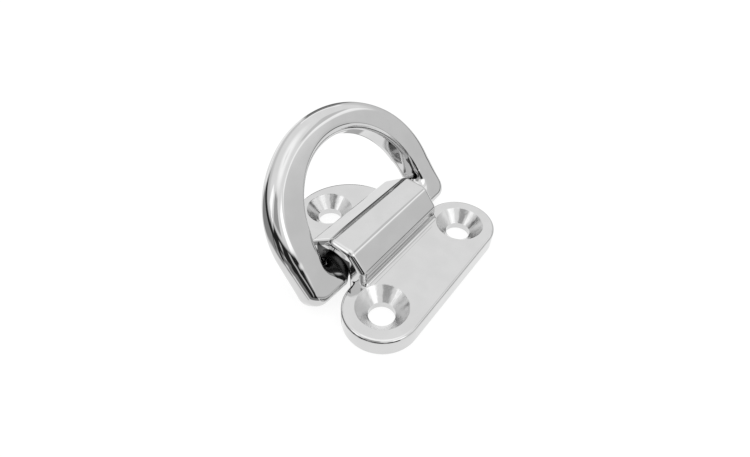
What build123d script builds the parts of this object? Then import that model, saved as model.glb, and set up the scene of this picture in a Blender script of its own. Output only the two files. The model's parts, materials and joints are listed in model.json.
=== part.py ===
from build123d import *
import math
import os

# Folding pad eye: a one-piece stainless base with three countersunk holes and a
# saddle across it, and a D-ring whose bar turns in the saddle's channel.
# Millimetres. The origin is on the underside, midway between the two wing holes.
# +X runs along the pivot axis, +Y points to the one-hole ear, +Z points up.

# Base plate
PLATE_THICKNESS = 4.9
WING_END_RADIUS = 9.5
EAR_RADIUS = 15.9
EAR_CENTRE_Y = 24.9
TOP_EDGE_RADIUS = 0.8
BOTTOM_EDGE_RADIUS = 0.3
NOTCH_RADIUS = 1.0

# Countersunk screw holes, for M6
HOLE_RADIUS = 3.3
COUNTERSINK_RADIUS = 6.4
WING_HOLE_SPACING = 35.4
EAR_HOLE_Y = 32.0

# Saddle over the ring's bar
PIVOT_Y = 16.0
SADDLE_HALF_LENGTH = 16.1
SADDLE_FOOT_RADIUS = 1.5
SADDLE_END_RADIUS = 1.4

# Flats polished on the saddle: corners of its section before rounding, as
# distance from the pivot towards the ear and height, from the ear side to the wing side
SADDLE_EAR_SIDE = (8.4, 8.9)
SADDLE_RIDGE = (1.0, 13.97)
SADDLE_BROW = (-5.3, 13.5)
SADDLE_WING_SIDE = (-9.3, 8.6)
SADDLE_CORNER_RADII = (3.0, 3.0, 2.4, 1.6)

# Channel under the saddle, open at the underside
CHANNEL_HALF_WIDTH = 4.3
CHANNEL_HEIGHT = 10.0
CHANNEL_MOUTH_RADIUS = 1.5

# Peened lips that keep the bar in the channel
LIP_REACH = 1.1
LIP_HEIGHT = 1.3
LIP_EDGE = 0.25
LIP_LENGTH = 3.0
LIP_X = 9.5

# D-ring, in its own plane: u along the bar, v away from the bar
PIVOT_HEIGHT = 5.3
RING_TILT = 54.0
RING_SIDE_PLAY_OFFSET = 1.0
RING_THICKNESS = 7.6
RING_OUTER_HALF_WIDTH = 28.5
RING_OUTER_CROWN_V = 34.5
RING_OUTER_SHOULDER_U = 4.0
RING_OUTER_SHOULDER_V = 8.4
RING_OUTER_BOTTOM_V = -4.5
RING_OUTER_CORNER = 2.7
RING_INNER_HALF_WIDTH = 19.9
RING_INNER_CROWN_V = 27.1
RING_INNER_SHOULDER_U = 1.2
RING_INNER_SHOULDER_V = 7.4
RING_INNER_CORNER = 2.6
RING_EDGE_RADIUS = 2.0
BAR_RADIUS = 3.9

# The ring's corners are turned down to the round bar with a cone
BAR_HALF_LENGTH = 17.6
BAR_CONE_HALF_LENGTH = 20.6
BAR_CONE_RADIUS = 6.9
ARM_START_V = 5.2

# Reach of the cutting solids
BIG = 80.0
BELOW = 2.0


def plate_outline():
    """Two-hole wing, one-hole ear and the strip below the saddle."""
    wing = SlotCenterToCenter(WING_HOLE_SPACING, 2 * WING_END_RADIUS)
    ear = Pos(0, EAR_CENTRE_Y) * Circle(EAR_RADIUS)
    strip = Pos(0, EAR_CENTRE_Y / 2) * Rectangle(2 * SADDLE_HALF_LENGTH, EAR_CENTRE_Y)
    outline = wing + strip + ear
    notch_corners = [
        vertex
        for vertex in outline.vertices()
        if abs(vertex.Y - WING_END_RADIUS) < 0.01 and abs(abs(vertex.X) - SADDLE_HALF_LENGTH) < 0.01
    ]
    return fillet(notch_corners, NOTCH_RADIUS)


def plate():
    solid = extrude(plate_outline(), PLATE_THICKNESS)
    top_edges = solid.faces().sort_by(Axis.Z)[-1].edges()
    solid = fillet(top_edges, TOP_EDGE_RADIUS)
    bottom_edges = solid.faces().sort_by(Axis.Z)[0].edges()
    return fillet(bottom_edges, BOTTOM_EDGE_RADIUS)


def saddle_profile():
    """Section of the saddle across the bar, with its polished flats and concave feet."""
    corners = (SADDLE_EAR_SIDE, SADDLE_RIDGE, SADDLE_BROW, SADDLE_WING_SIDE)
    ear_wall = SADDLE_EAR_SIDE[0]
    wing_wall = SADDLE_WING_SIDE[0]
    root_z = PLATE_THICKNESS / 2
    section = make_face(Polyline((ear_wall, root_z), *corners, (wing_wall, root_z), close=True))
    for corner, radius in zip(corners, SADDLE_CORNER_RADII):
        vertex = section.vertices().sort_by_distance((*corner, 0))[0]
        section = fillet(vertex, radius)
    for wall, side in ((ear_wall, 1), (wing_wall, -1)):
        foot_y = wall + side * SADDLE_FOOT_RADIUS
        foot_z = PLATE_THICKNESS + SADDLE_FOOT_RADIUS
        foot = Pos((wall + foot_y) / 2, (root_z + foot_z) / 2) * Rectangle(SADDLE_FOOT_RADIUS, foot_z - root_z)
        section += foot - Pos(foot_y, foot_z) * Circle(SADDLE_FOOT_RADIUS)
    return section


def saddle():
    section = Plane.YZ * saddle_profile()
    solid = extrude(section, SADDLE_HALF_LENGTH, both=True)
    end_edges = [
        edge
        for face in (solid.faces().sort_by(Axis.X)[0], solid.faces().sort_by(Axis.X)[-1])
        for edge in face.edges()
        if edge.center().Z > PLATE_THICKNESS + 0.1
    ]
    return fillet(end_edges, SADDLE_END_RADIUS)


def channel_section():
    """Section of the space for the bar: straight walls and a half-round roof."""
    roof_z = CHANNEL_HEIGHT - CHANNEL_HALF_WIDTH
    walls_height = roof_z + BELOW
    walls = Pos(0, roof_z - walls_height / 2) * Rectangle(2 * CHANNEL_HALF_WIDTH, walls_height)
    return walls + Pos(0, roof_z) * Circle(CHANNEL_HALF_WIDTH)


def channel_mouth():
    """The flare that rounds the channel's edge at the +X end of the saddle."""
    section = channel_section()
    depth = CHANNEL_MOUTH_RADIUS + 1
    wide_section = offset(section, amount=depth, kind=Kind.ARC)
    lining = extrude(Plane.YZ * (wide_section - section), depth)
    end_face = lining.faces().sort_by(Axis.X)[-1]
    lining = fillet(end_face.inner_wires()[0].edges(), CHANNEL_MOUTH_RADIUS)
    flare = extrude(Plane.YZ * wide_section, depth) - lining
    return Pos(SADDLE_HALF_LENGTH - depth, 0, 0) * flare


def channel():
    straight = extrude(Plane.YZ * channel_section(), BIG, both=True)
    mouth = channel_mouth()
    return straight + mouth + mirror(mouth, about=Plane.YZ)


def screw_hole(x, y):
    depth = COUNTERSINK_RADIUS - HOLE_RADIUS
    drill = Pos(x, y, 0) * Cylinder(HOLE_RADIUS, 2 * BIG)
    cone = Cone(HOLE_RADIUS, COUNTERSINK_RADIUS, depth, align=(Align.CENTER, Align.CENTER, Align.MAX))
    above = Cylinder(COUNTERSINK_RADIUS, BIG, align=(Align.CENTER, Align.CENTER, Align.MIN))
    return drill + Pos(x, y, PLATE_THICKNESS) * (cone + above)


def lip(x, side):
    """A lip at the foot of one channel wall; side is +1 or -1."""
    wall = CHANNEL_HALF_WIDTH + LIP_EDGE
    tip = CHANNEL_HALF_WIDTH - LIP_REACH
    outline = make_face(
        Polyline(
            (side * wall, 0),
            (side * tip, 0),
            (side * tip, LIP_EDGE),
            (side * CHANNEL_HALF_WIDTH, LIP_HEIGHT),
            (side * wall, LIP_HEIGHT),
            close=True,
        )
    )
    return Pos(x, 0, 0) * extrude(Plane.YZ * outline, LIP_LENGTH / 2, both=True)


def base():
    at_pivot = Pos(0, PIVOT_Y, 0)
    solid = plate() + at_pivot * saddle()
    solid -= at_pivot * channel()
    half_spacing = WING_HOLE_SPACING / 2
    for x, y in ((-half_spacing, 0), (half_spacing, 0), (0, EAR_HOLE_Y)):
        solid -= screw_hole(x, y)
    for x in (-LIP_X, LIP_X):
        for side in (-1, 1):
            solid += at_pivot * lip(x, side)
    return solid


def d_outline(half_width, crown_v, shoulder_u, shoulder_v, bottom_v, corner):
    """A D: straight bottom, straight arms, two shoulder arcs and a flatter crown arc."""
    shoulder_radius = half_width - shoulder_u
    reach = crown_v - shoulder_radius
    crown_centre_v = (reach**2 - shoulder_u**2 - shoulder_v**2) / (2 * (reach - shoulder_v))
    crown_radius = crown_v - crown_centre_v
    joint_angle = math.degrees(math.atan2(shoulder_v - crown_centre_v, shoulder_u))
    right_arm = Line((half_width, bottom_v), (half_width, shoulder_v))
    right_shoulder = CenterArc((shoulder_u, shoulder_v), shoulder_radius, 0, joint_angle)
    crown = CenterArc((0, crown_centre_v), crown_radius, joint_angle, 180 - 2 * joint_angle)
    left_shoulder = mirror(right_shoulder, about=Plane.YZ)
    left_arm = mirror(right_arm, about=Plane.YZ)
    bottom = Line((-half_width, bottom_v), (half_width, bottom_v))
    outline = make_face([right_arm, right_shoulder, crown, left_shoulder, left_arm, bottom])
    return fillet(outline.vertices().sort_by(Axis.Y)[:2], corner)


def ring():
    outer = d_outline(
        RING_OUTER_HALF_WIDTH,
        RING_OUTER_CROWN_V,
        RING_OUTER_SHOULDER_U,
        RING_OUTER_SHOULDER_V,
        RING_OUTER_BOTTOM_V,
        RING_OUTER_CORNER,
    )
    inner = d_outline(
        RING_INNER_HALF_WIDTH,
        RING_INNER_CROWN_V,
        RING_INNER_SHOULDER_U,
        RING_INNER_SHOULDER_V,
        BAR_RADIUS,
        RING_INNER_CORNER,
    )
    band = extrude(outer - inner, RING_THICKNESS / 2, both=True)
    rims = band.faces().filter_by(Axis.Z).edges()
    band = fillet(rims, RING_EDGE_RADIUS)
    half_envelope = Polyline(
        (0, 0),
        (0, BAR_RADIUS),
        (BAR_HALF_LENGTH, BAR_RADIUS),
        (BAR_CONE_HALF_LENGTH, BAR_CONE_RADIUS),
        (BAR_CONE_HALF_LENGTH, BIG),
        (BIG, BIG),
        (BIG, 0),
        close=True,
    )
    envelope = revolve(make_face(half_envelope), Axis.X)
    envelope += mirror(envelope, about=Plane.YZ)
    arms_side = Pos(0, ARM_START_V + BIG / 2, 0) * Box(2 * BIG, BIG, BIG)
    flat_ring = band & (envelope + arms_side)
    at_bar = Pos(RING_SIDE_PLAY_OFFSET, PIVOT_Y, PIVOT_HEIGHT)
    return at_bar * Rot(RING_TILT, 0, 0) * flat_ring


def write(shape, node):
    solids = shape.solids()
    result = solids[0] if len(solids) == 1 else Compound(children=list(solids))
    export_step(result, os.path.join("parts", node + ".step"))


os.makedirs("parts", exist_ok=True)
write(base(), "base")
write(ring(), "d_ring")
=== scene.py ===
import json
import math

import bpy
from mathutils import Matrix, Vector


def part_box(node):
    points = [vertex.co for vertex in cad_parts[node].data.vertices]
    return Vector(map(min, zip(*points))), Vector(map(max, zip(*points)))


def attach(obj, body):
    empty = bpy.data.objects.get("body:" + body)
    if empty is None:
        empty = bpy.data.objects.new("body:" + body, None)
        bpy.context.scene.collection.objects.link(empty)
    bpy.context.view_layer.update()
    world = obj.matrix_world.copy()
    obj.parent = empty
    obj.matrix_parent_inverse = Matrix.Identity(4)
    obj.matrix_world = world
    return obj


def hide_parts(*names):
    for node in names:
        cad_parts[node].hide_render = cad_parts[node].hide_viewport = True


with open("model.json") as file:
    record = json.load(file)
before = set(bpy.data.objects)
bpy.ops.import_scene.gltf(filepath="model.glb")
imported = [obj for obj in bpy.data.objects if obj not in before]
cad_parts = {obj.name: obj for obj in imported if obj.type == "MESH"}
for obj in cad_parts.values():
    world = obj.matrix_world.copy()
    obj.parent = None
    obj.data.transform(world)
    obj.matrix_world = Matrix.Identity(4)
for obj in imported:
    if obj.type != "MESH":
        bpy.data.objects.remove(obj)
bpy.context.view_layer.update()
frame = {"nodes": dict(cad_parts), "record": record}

MM = 0.001

# Camera: close to the part, in millimetres from the wing holes' midpoint
CAMERA_PLACE = Vector((-65.80, -33.23, 85.64)) * MM
CAMERA_AZIMUTH = math.radians(-53.35)
CAMERA_ELEVATION = math.radians(43.93)
CAMERA_ROLL = math.radians(1.38)
CAMERA_LENS = 20.66
CAMERA_SENSOR = 36.0
CAMERA_NEAR = 5 * MM

# Studio: a white floor, a surround for low views, and the brightness of the room by
# elevation in degrees, whose lower half stands for the floor in reflections
FLOOR_SIZE = 6.0
BACKDROP_RADIUS = 4.0
BACKDROP_GLOW = 1.0
FLOOR_GLOW = 0.86
FLOOR_DIFFUSE = 0.20
ROOM_STOPS = (
    (-90, 1.00),
    (-4, 0.98),
    (-1, 0.42),
    (3, 0.42),
    (7, 0.74),
    (22, 0.78),
    (33, 1.00),
    (60, 1.02),
    (76, 1.34),
    (82, 1.34),
    (90, 1.08),
)
ROOM_DARKEST = 0.02
# Cards in the room, in degrees: azimuth from +X, elevation, half width, half height and
# softness, then the strength that each adds
CARDS = (
    ("furniture_behind", 205, 1, 50, 17, 5, -0.75),
    ("table_edge_left", 136, -10, 34, 17, 8, -0.66),
    ("gap_left", 160, 2, 4, 20, 4, 0.75),
    ("gap_behind", 190, 4, 3, 8, 3, 0.50),
    ("gap_back", 226, 8, 3, 8, 3, 0.55),
    ("camera_and_hands", 194, 44, 17, 12, 7, -0.58),
    ("left_box", 150, 36, 8, 10, 5, 0.50),
    ("front_box", -100, 34, 13, 9, 7, 0.65),
    ("furniture_right", -32, -2, 26, 2, 3, -0.50),
    ("furniture_far", 47, 10, 10, 14, 4, -0.50),
    ("window_far", 44, 29, 18, 2, 2, 0.40),
    ("window_left_far", 81, 1, 20, 4, 6, 0.48),
    ("table_below", 36, -54, 22, 8, 4, -0.50),
    ("soft_box_right", -46, 31, 20, 3, 4, 0.30),
    ("doorway_right", -34, 44, 13, 5, 4, -0.26),
)

# Ring, in millimetres in its own plane: u along the bar, v away from the bar
RING_TILT = math.radians(54)
HALF_THICKNESS = 3.8
BAR_RADIUS = 3.9
BAR_FLAT = 0.05
BAR_STRAIGHT_END = 15.8
OUTER_HALF_WIDTH = 28.5
OUTER_CROWN_V = 34.5
OUTER_SHOULDER = (4.0, 8.4)
OUTER_BOTTOM_V = -4.5
OUTER_CORNER = 3.4
OUTER_FOOT_START_U = 18.2
OUTER_ARM_START_V = 5.5
INNER_HALF_WIDTH = 19.9
INNER_CROWN_V = 27.1
INNER_SHOULDER = (1.2, 7.4)
INNER_CORNER = 2.6
# Reach of the rounded edges, from the eye side and from the outside, in millimetres
BAR_REACH = BAR_RADIUS - BAR_FLAT
ROOT_REACH = (6.3, 1.9)
ARM_REACH = (1.8, 3.2)
SHOULDER_REACH = (1.7, 3.4)
JOINT_REACH = (1.9, 3.7)
CROWN_REACH = (2.1, 3.7)
# Mesh density: steps along each span of half the ring, and round each edge
BAR_STEPS = 20
ROOT_STEPS = 40
FOOT_STEPS = 110
FOOT_LINE_STEPS = 30
FOOT_CORNER_STEPS = 40
ARM_STEPS = 10
SHOULDER_STEPS = 90
CROWN_STEPS = 60
EDGE_STEPS = 14
# Narrow strips that keep the flat faces flat
EDGE_SUPPORT = 0.12
EDGE_SUPPORT_SHARE = 0.3

# Finish of the steel: lengths in metres, noise scales per metre
STEEL_DULL = 0.645
STEEL_BRIGHT = 0.675
POLISH_BEST = 0.025
POLISH_WORST = 0.065
HAZE_SCALE = 180.0
HAZE_COLOUR_RANGE = (0.3, 0.7)
HAZE_POLISH_RANGE = (0.35, 0.75)
HAIRLINE_STRETCH = (1.0, 14.0, 14.0)
HAIRLINE_SCALE = 240.0
HAIRLINE_RANGE = (0.62, 0.72)
HAIRLINE_ROUGHNESS = 0.035
HAIRLINE_DEPTH = 0.0000004
WAVE_SCALE = 110.0
WAVE_HEIGHT = 0.000035
PLATE_TOP = 4.9 * MM
WING_HOLE_SPACING = 35.4 * MM
COUNTERSINK_RADIUS = 6.4 * MM
COUNTERSINK_MARGIN = 0.05 * MM
TURNING_PITCH = 2 * math.pi / (0.22 * MM)
TURNING_UNEVEN_SCALE = 300.0
TURNING_WOBBLE = 9.0
TURNING_DEPTH = 0.000004
TURNING_ROUGHNESS = 0.10
CHATTER_STRETCH = (1.0, 1.0, 0.15)
CHATTER_SCALE = 900.0
CHATTER_DEPTH = 0.00004
CHANNEL_HALF_WIDTH = 5.2 * MM
CHANNEL_TOP = 10.8 * MM
CHANNEL_MARGIN = 0.15 * MM
AS_CAST_ROUGHNESS = 0.30
# Share of the steel colour kept in the channel and on the bar inside it: painted shade
PAINTED_SHADE_FACTOR = 0.10
# Where the bar lies in the channel: worn rough, and darkened with painted shade
SHADED_WORN_BAR_HALF_LENGTH = 17.0 * MM
SHADED_WORN_BAR_RADIUS = 5.0 * MM
SHADED_WORN_BAR_FADE = 0.7 * MM
PIVOT = Vector(frame["record"]["behaviour"]["joints"][0]["pos_m"])


class Graph:
    """Short forms for building a node tree."""

    def __init__(self, tree):
        self.tree = tree

    def add(self, kind, **settings):
        node = self.tree.nodes.new(kind)
        for name, value in settings.items():
            setattr(node, name, value)
        return node

    def join(self, source, target):
        self.tree.links.new(source, target)

    def put(self, value, socket):
        """Links a socket or sets a plain value."""
        if isinstance(value, bpy.types.NodeSocket):
            self.join(value, socket)
        else:
            socket.default_value = value

    def sum(self, operation, first, second=0.0, third=0.0):
        node = self.add("ShaderNodeMath", operation=operation)
        self.put(first, node.inputs[0])
        self.put(second, node.inputs[1])
        self.put(third, node.inputs[2])
        return node.outputs[0]

    def spread(self, value, low, high, to_low=0.0, to_high=1.0, smooth=True):
        node = self.add("ShaderNodeMapRange")
        node.interpolation_type = "SMOOTHSTEP" if smooth else "LINEAR"
        self.put(value, node.inputs["Value"])
        for name, number in (("From Min", low), ("From Max", high), ("To Min", to_low), ("To Max", to_high)):
            node.inputs[name].default_value = number
        return node.outputs["Result"]

    def fade(self, offset, half_width, softness):
        """1 within half_width of zero, falling to 0 over softness."""
        return self.spread(self.sum("ABSOLUTE", offset), half_width, half_width + softness, 1.0, 0.0)

    def stretched(self, vector, scales):
        node = self.add("ShaderNodeMapping")
        self.join(vector, node.inputs["Vector"])
        node.inputs["Scale"].default_value = scales
        return node.outputs["Vector"]

    def noise(self, vector, scale, detail=3.0, roughness=0.5, distortion=0.0):
        node = self.add("ShaderNodeTexNoise")
        self.join(vector, node.inputs["Vector"])
        node.inputs["Scale"].default_value = scale
        node.inputs["Detail"].default_value = detail
        node.inputs["Roughness"].default_value = roughness
        node.inputs["Distortion"].default_value = distortion
        return node.outputs["Fac"]

    def bump(self, height, distance, normal=None):
        node = self.add("ShaderNodeBump")
        node.inputs["Strength"].default_value = 1.0
        node.inputs["Distance"].default_value = distance
        self.join(height, node.inputs["Height"])
        if normal is not None:
            self.join(normal, node.inputs["Normal"])
        return node.outputs["Normal"]


def make_camera():
    data = bpy.data.cameras.new("camera")
    data.lens = CAMERA_LENS
    data.sensor_width = CAMERA_SENSOR
    data.clip_start = CAMERA_NEAR
    camera = bpy.data.objects.new("camera", data)
    bpy.context.scene.collection.objects.link(camera)
    back = Vector((
        math.sin(CAMERA_AZIMUTH) * math.cos(CAMERA_ELEVATION),
        -math.cos(CAMERA_AZIMUTH) * math.cos(CAMERA_ELEVATION),
        math.sin(CAMERA_ELEVATION),
    ))
    right = Vector((0, 0, 1)).cross(back).normalized()
    up = back.cross(right)
    rolled_right = right * math.cos(CAMERA_ROLL) + up * math.sin(CAMERA_ROLL)
    rolled_up = up * math.cos(CAMERA_ROLL) - right * math.sin(CAMERA_ROLL)
    turn = Matrix((rolled_right, rolled_up, back)).transposed().to_4x4()
    camera.matrix_world = Matrix.Translation(CAMERA_PLACE) @ turn
    bpy.context.scene.camera = camera


def make_room():
    """A pale room with a darker line at eye level, dark cards and soft boxes."""
    world = bpy.data.worlds.new("studio")
    bpy.context.scene.world = world
    world.use_nodes = True
    graph = Graph(world.node_tree)
    background = world.node_tree.nodes["Background"]
    direction = graph.add("ShaderNodeTexCoord").outputs["Generated"]
    split = graph.add("ShaderNodeSeparateXYZ")
    graph.join(direction, split.inputs[0])
    elevation = graph.sum("ARCSINE", split.outputs["Z"])
    place = graph.spread(elevation, -math.pi / 2, math.pi / 2, smooth=False)
    ramp = graph.add("ShaderNodeValToRGB")
    graph.join(place, ramp.inputs[0])
    stops = ramp.color_ramp.elements
    while len(stops) < len(ROOM_STOPS):
        stops.new(0.5)
    for stop, (degrees, strength) in zip(stops, ROOM_STOPS):
        stop.position = (degrees + 90) / 180
        stop.color = (strength, strength, strength, 1)
    level = ramp.outputs[0]
    azimuth = graph.sum("ARCTAN2", split.outputs["Y"], split.outputs["X"])
    for name, *angles, strength in CARDS:
        card_azimuth, card_elevation, half_width, half_height, softness = map(math.radians, angles)
        turn = graph.sum("WRAP", graph.sum("SUBTRACT", azimuth, card_azimuth), math.pi, -math.pi)
        rise = graph.sum("SUBTRACT", elevation, card_elevation)
        across = graph.fade(turn, half_width, softness)
        light = graph.sum("MULTIPLY", across, graph.fade(rise, half_height, softness))
        level = graph.sum("MULTIPLY_ADD", light, strength, level)
    level = graph.sum("MAXIMUM", level, ROOM_DARKEST)
    graph.join(level, background.inputs["Color"])
    background.inputs["Strength"].default_value = 1.0


def polished(graph, place):
    """Colour, roughness and normal of mirror-polished stainless steel that has been handled."""
    haze = graph.noise(place, HAZE_SCALE)
    hairlines = graph.noise(graph.stretched(place, HAIRLINE_STRETCH), HAIRLINE_SCALE, detail=2.0)
    waves = graph.noise(place, WAVE_SCALE, detail=1.0)
    colour = graph.spread(haze, *HAZE_COLOUR_RANGE, STEEL_DULL, STEEL_BRIGHT)
    roughness = graph.sum(
        "ADD",
        graph.spread(haze, *HAZE_POLISH_RANGE, POLISH_BEST, POLISH_WORST),
        graph.spread(hairlines, *HAIRLINE_RANGE, 0.0, HAIRLINE_ROUGHNESS),
    )
    normal = graph.bump(waves, WAVE_HEIGHT)
    normal = graph.bump(hairlines, HAIRLINE_DEPTH, normal)
    return colour, roughness, normal


def finish_steel(graph, shader, colour, roughness, normal):
    """Joins the steel's colour, roughness and normal to its shader."""
    grey = graph.add("ShaderNodeCombineColor")
    for channel in ("Red", "Green", "Blue"):
        graph.join(colour, grey.inputs[channel])
    graph.join(grey.outputs["Color"], shader.inputs["Base Color"])
    graph.join(roughness, shader.inputs["Roughness"])
    graph.join(normal, shader.inputs["Normal"])
    shader.inputs["Metallic"].default_value = 1.0


def new_steel(name):
    """A material with its graph, its place coordinates and its shader."""
    material = bpy.data.materials.new(name)
    material.use_nodes = True
    graph = Graph(material.node_tree)
    place = graph.add("ShaderNodeTexCoord").outputs["Object"]
    return material, graph, place, material.node_tree.nodes["Principled BSDF"]


def distance_from(graph, place, point, flatten):
    """Distance to a point, counting only the axes that flatten keeps."""
    offset = graph.add("ShaderNodeVectorMath", operation="SUBTRACT")
    graph.join(place, offset.inputs[0])
    offset.inputs[1].default_value = point
    flat = graph.add("ShaderNodeVectorMath", operation="MULTIPLY")
    graph.join(offset.outputs[0], flat.inputs[0])
    flat.inputs[1].default_value = flatten
    length = graph.add("ShaderNodeVectorMath", operation="LENGTH")
    graph.join(flat.outputs[0], length.inputs[0])
    return length.outputs["Value"]


def inside(graph, value, limit, softness):
    """1 below the limit and 0 above it, with a soft edge."""
    return graph.spread(value, limit - softness, limit + softness, 1.0, 0.0)


def base_steel():
    """Polished outside, turned countersinks, and a channel rough as cast, its colour darkened as painted
    shade.
    """
    material, graph, place, shader = new_steel("base_steel")
    colour, roughness, normal = polished(graph, place)
    split = graph.add("ShaderNodeSeparateXYZ")
    graph.join(place, split.inputs[0])
    below_top = inside(graph, split.outputs["Z"], PLATE_TOP - COUNTERSINK_MARGIN, COUNTERSINK_MARGIN)
    turned = 0.0
    radius = 1.0
    for hole in hole_axes():
        reach = distance_from(graph, place, hole, (1, 1, 0))
        turned = graph.sum("MAXIMUM", turned, inside(graph, reach, COUNTERSINK_RADIUS, COUNTERSINK_MARGIN))
        radius = graph.sum("MINIMUM", radius, reach)
    turned = graph.sum("MULTIPLY", turned, below_top)
    uneven = graph.noise(place, TURNING_UNEVEN_SCALE, detail=2.0)
    phase = graph.sum("MULTIPLY_ADD", uneven, TURNING_WOBBLE, graph.sum("MULTIPLY", radius, TURNING_PITCH))
    groove = graph.sum("MULTIPLY", graph.sum("SINE", phase), turned)
    chatter = graph.noise(graph.stretched(place, CHATTER_STRETCH), CHATTER_SCALE, detail=2.0)
    normal = graph.bump(groove, TURNING_DEPTH, normal)
    normal = graph.bump(graph.sum("MULTIPLY", chatter, turned), CHATTER_DEPTH, normal)
    roughness = graph.sum("MULTIPLY_ADD", turned, TURNING_ROUGHNESS, roughness)
    aside = graph.sum("ABSOLUTE", graph.sum("SUBTRACT", split.outputs["Y"], PIVOT.y))
    hollow = graph.sum(
        "MULTIPLY",
        inside(graph, aside, CHANNEL_HALF_WIDTH, CHANNEL_MARGIN),
        inside(graph, split.outputs["Z"], CHANNEL_TOP, CHANNEL_MARGIN),
    )
    roughness = graph.sum("MULTIPLY_ADD", hollow, AS_CAST_ROUGHNESS, roughness)
    # Painted shade: the channel's colour darkened to stand in for the shade inside it
    colour = graph.sum("MULTIPLY", colour, graph.spread(hollow, 0.0, 1.0, 1.0, PAINTED_SHADE_FACTOR))
    finish_steel(graph, shader, colour, roughness, normal)
    return material


def ring_steel():
    """Polished outside the base; the bar that turns in the channel is dull from wear, its colour darkened as
    painted shade.
    """
    material, graph, place, shader = new_steel("ring_steel")
    colour, roughness, normal = polished(graph, place)
    split = graph.add("ShaderNodeSeparateXYZ")
    graph.join(place, split.inputs[0])
    along = graph.sum("ABSOLUTE", split.outputs["X"])
    from_bar = distance_from(graph, place, PIVOT, (0, 1, 1))
    worn_and_shaded = graph.sum(
        "MULTIPLY",
        inside(graph, along, SHADED_WORN_BAR_HALF_LENGTH, SHADED_WORN_BAR_FADE),
        inside(graph, from_bar, SHADED_WORN_BAR_RADIUS, SHADED_WORN_BAR_FADE),
    )
    roughness = graph.sum("MULTIPLY_ADD", worn_and_shaded, AS_CAST_ROUGHNESS, roughness)
    # Painted shade: the bar's colour darkened where it lies in the channel's shade
    colour = graph.sum("MULTIPLY", colour, graph.spread(worn_and_shaded, 0.0, 1.0, 1.0, PAINTED_SHADE_FACTOR))
    finish_steel(graph, shader, colour, roughness, normal)
    return material


def hole_axes():
    """Points on the axes of the three screw holes."""
    places = {mount["name"]: Vector(mount["pos_m"]) for mount in frame["record"]["mounts"]}
    middle = places["wing_screw_holes"]
    half = Vector((WING_HOLE_SPACING / 2, 0, 0))
    return middle - half, middle + half, places["ear_screw_hole"]


def paper():
    material = bpy.data.materials.new("white_paper")
    material.use_nodes = True
    shader = material.node_tree.nodes["Principled BSDF"]
    shader.inputs["Base Color"].default_value = (FLOOR_DIFFUSE, FLOOR_DIFFUSE, FLOOR_DIFFUSE, 1)
    shader.inputs["Roughness"].default_value = 1
    shader.inputs["Specular IOR Level"].default_value = 0
    shader.inputs["Emission Color"].default_value = (1, 1, 1, 1)
    shader.inputs["Emission Strength"].default_value = FLOOR_GLOW
    return material


def make_floor():
    bpy.ops.mesh.primitive_plane_add(size=FLOOR_SIZE, location=(0, 0, 0))
    floor = bpy.context.object
    floor.name = "floor"
    floor.data.materials.append(paper())
    floor.visible_glossy = False


def make_backdrop():
    """A pale surround that only the camera sees, so that low views have a plain background."""
    material = bpy.data.materials.new("pale_surround")
    material.use_nodes = True
    shader = material.node_tree.nodes["Principled BSDF"]
    shader.inputs["Base Color"].default_value = (0, 0, 0, 1)
    shader.inputs["Specular IOR Level"].default_value = 0
    shader.inputs["Emission Color"].default_value = (1, 1, 1, 1)
    shader.inputs["Emission Strength"].default_value = BACKDROP_GLOW
    bpy.ops.mesh.primitive_uv_sphere_add(radius=BACKDROP_RADIUS, segments=64, ring_count=32)
    backdrop = bpy.context.object
    backdrop.name = "backdrop"
    backdrop.data.materials.append(material)
    backdrop.visible_glossy = False
    backdrop.visible_diffuse = False
    backdrop.visible_shadow = False
    backdrop.visible_transmission = False


def smooth(t):
    return t * t * (3 - 2 * t)


def mixed(first, second, t):
    """The point between two points, t of the way along."""
    return tuple(a + (b - a) * t for a, b in zip(first, second))


def line(start, end, count):
    """Points along a line, without its last one."""
    return [mixed(start, end, i / count) for i in range(count)]


def arc(centre, radius, start, end, count):
    """Points along an arc, without its last one."""
    angles = [start + (end - start) * i / count for i in range(count)]
    return [(centre[0] + radius * math.cos(a), centre[1] + radius * math.sin(a)) for a in angles]


def spaced(points, count):
    """The same path with count points at equal distances, without its last point."""
    steps = [math.dist(a, b) for a, b in zip(points, points[1:])]
    total = sum(steps)
    result = []
    index = 0
    walked = 0.0
    for i in range(count):
        target = total * i / count
        while walked + steps[index] < target:
            walked += steps[index]
            index += 1
        result.append(mixed(points[index], points[index + 1], (target - walked) / steps[index]))
    return result


def crown_arc(half_width, crown_v, shoulder):
    """Shoulder radius, crown centre, crown radius and the angle where the two arcs meet."""
    shoulder_radius = half_width - shoulder[0]
    reach = crown_v - shoulder_radius
    centre_v = (reach**2 - shoulder[0]**2 - shoulder[1]**2) / (2 * (reach - shoulder[1]))
    angle = math.atan2(shoulder[1] - centre_v, shoulder[0])
    return shoulder_radius, (0.0, centre_v), crown_v - centre_v, angle


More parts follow.
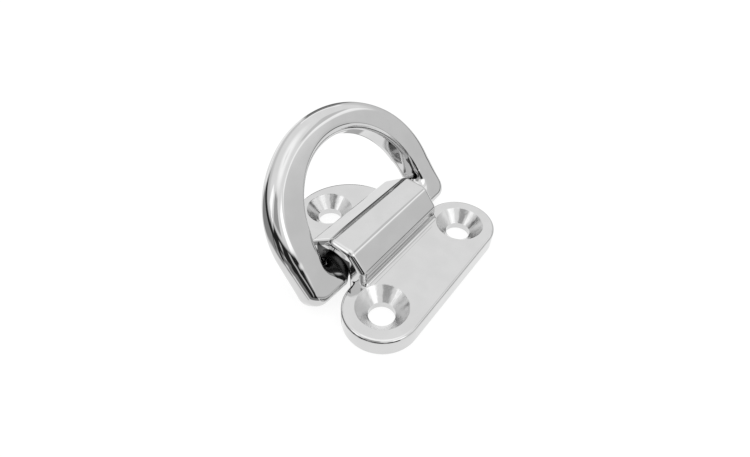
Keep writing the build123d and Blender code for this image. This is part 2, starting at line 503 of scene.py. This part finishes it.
def ring_stations():
    """Half of the ring, from the middle of the bar to the crown: eye side, outside and edge reaches."""
    inner_radius, inner_centre, inner_crown_radius, inner_angle = crown_arc(
        INNER_HALF_WIDTH, INNER_CROWN_V, INNER_SHOULDER
    )
    outer_radius, outer_centre, outer_crown_radius, outer_angle = crown_arc(
        OUTER_HALF_WIDTH, OUTER_CROWN_V, OUTER_SHOULDER
    )
    root_u = INNER_HALF_WIDTH - INNER_CORNER
    inner_corner = (root_u, BAR_RADIUS + INNER_CORNER)
    outer_corner = (OUTER_HALF_WIDTH - OUTER_CORNER, OUTER_BOTTOM_V + OUTER_CORNER)
    quarter = math.pi / 2
    foot_start = (OUTER_FOOT_START_U, OUTER_BOTTOM_V)
    arm_start = (OUTER_HALF_WIDTH, OUTER_ARM_START_V)
    foot = line(foot_start, (outer_corner[0], OUTER_BOTTOM_V), FOOT_LINE_STEPS)
    foot += arc(outer_corner, OUTER_CORNER, -quarter, 0, FOOT_CORNER_STEPS)
    foot += line((OUTER_HALF_WIDTH, outer_corner[1]), arm_start, FOOT_LINE_STEPS)
    foot.append(arm_start)
    round_bar = (BAR_REACH, BAR_REACH)
    spans = (
        (
            line((0, BAR_RADIUS), (BAR_STRAIGHT_END, BAR_RADIUS), BAR_STEPS),
            line((0, -BAR_RADIUS), (BAR_STRAIGHT_END, -BAR_RADIUS), BAR_STEPS),
            round_bar,
            round_bar,
        ),
        (
            line((BAR_STRAIGHT_END, BAR_RADIUS), (root_u, BAR_RADIUS), ROOT_STEPS),
            line((BAR_STRAIGHT_END, -BAR_RADIUS), foot_start, ROOT_STEPS),
            round_bar,
            ROOT_REACH,
        ),
        (
            arc(inner_corner, INNER_CORNER, -quarter, 0, FOOT_STEPS),
            spaced(foot, FOOT_STEPS),
            ROOT_REACH,
            ARM_REACH,
        ),
        (
            line(
                (INNER_HALF_WIDTH, inner_corner[1]), (INNER_HALF_WIDTH, INNER_SHOULDER[1]), ARM_STEPS
            ),
            line(arm_start, (OUTER_HALF_WIDTH, OUTER_SHOULDER[1]), ARM_STEPS),
            ARM_REACH,
            SHOULDER_REACH,
        ),
        (
            arc(INNER_SHOULDER, inner_radius, 0, inner_angle, SHOULDER_STEPS),
            arc(OUTER_SHOULDER, outer_radius, 0, outer_angle, SHOULDER_STEPS),
            SHOULDER_REACH,
            JOINT_REACH,
        ),
        (
            arc(inner_centre, inner_crown_radius, inner_angle, quarter, CROWN_STEPS),
            arc(outer_centre, outer_crown_radius, outer_angle, quarter, CROWN_STEPS),
            JOINT_REACH,
            CROWN_REACH,
        ),
    )
    stations = []
    for inner, outer, first_reach, last_reach in spans:
        for i, (inner_point, outer_point) in enumerate(zip(inner, outer)):
            reach = mixed(first_reach, last_reach, smooth(i / len(inner)))
            stations.append((inner_point, outer_point, reach))
    stations.append(((0.0, INNER_CROWN_V), (0.0, OUTER_CROWN_V), CROWN_REACH))
    return stations


def edge_points(centre, reach, depth, start, end):
    """Points round one rounded edge of the section."""
    angles = [start + (end - start) * i / EDGE_STEPS for i in range(EDGE_STEPS + 1)]
    return [(centre[0] + reach * math.cos(a), centre[1] + depth * math.sin(a)) for a in angles]


def section(width, reaches):
    """Closed outline across the ring: distance from the eye side, and height over the ring's plane."""
    inner_reach, outer_reach = reaches
    inner_depth = min(inner_reach, HALF_THICKNESS - BAR_FLAT)
    outer_depth = min(outer_reach, HALF_THICKNESS - BAR_FLAT)
    inner_reach = min(inner_reach, width - outer_reach - BAR_FLAT)
    quarter = math.pi / 2
    left = inner_reach
    right = width - outer_reach
    top_inner = HALF_THICKNESS - inner_depth
    top_outer = HALF_THICKNESS - outer_depth
    support = min(EDGE_SUPPORT, (right - left) * EDGE_SUPPORT_SHARE)
    points = edge_points((right, top_outer), outer_reach, outer_depth, quarter, 0)
    points += edge_points((right, -top_outer), outer_reach, outer_depth, 0, -quarter)
    points += [(right - support, -HALF_THICKNESS), (left + support, -HALF_THICKNESS)]
    points += edge_points((left, -top_inner), inner_reach, inner_depth, -quarter, -2 * quarter)
    points += edge_points((left, top_inner), inner_reach, inner_depth, 2 * quarter, quarter)
    points += [(left + support, HALF_THICKNESS), (right - support, HALF_THICKNESS)]
    return points


def make_ring(material):
    """The D-ring, its section changing from the round bar to the flat-faced arms and crown."""
    half = ring_stations()
    other_half = [((-i[0], i[1]), (-o[0], o[1]), reach) for i, o, reach in half[-2:0:-1]]
    stations = half + other_half
    low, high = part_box("d_ring")
    middle = Vector(((low[0] + high[0]) / 2, PIVOT.y, PIVOT.z))
    along_v = Vector((0, math.cos(RING_TILT), math.sin(RING_TILT)))
    along_n = Vector((0, -math.sin(RING_TILT), math.cos(RING_TILT)))
    points = []
    for inner, outer, reach in stations:
        width = math.dist(inner, outer)
        for across, height in section(width, reach):
            u, v = mixed(inner, outer, across / width)
            points.append(middle + (Vector((u, 0, 0)) + along_v * v + along_n * height) * MM)
    around = len(points) // len(stations)
    faces = []
    for i in range(len(stations)):
        this = i * around
        following = (i + 1) % len(stations) * around
        for j in range(around):
            k = (j + 1) % around
            faces.append((this + j, this + k, following + k, following + j))
    mesh = bpy.data.meshes.new("polished_ring")
    mesh.from_pydata(points, [], faces)
    mesh.shade_smooth()
    mesh.materials.append(material)
    ring = bpy.data.objects.new("polished_ring", mesh)
    bpy.context.scene.collection.objects.link(ring)
    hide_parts("d_ring")
    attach(ring, "ring")


make_camera()
make_room()
make_floor()
make_backdrop()
base = frame["nodes"]["base"]
base.data.materials.clear()
base.data.materials.append(base_steel())
make_ring(ring_steel())

bpy.context.scene.view_settings.view_transform = "Standard"
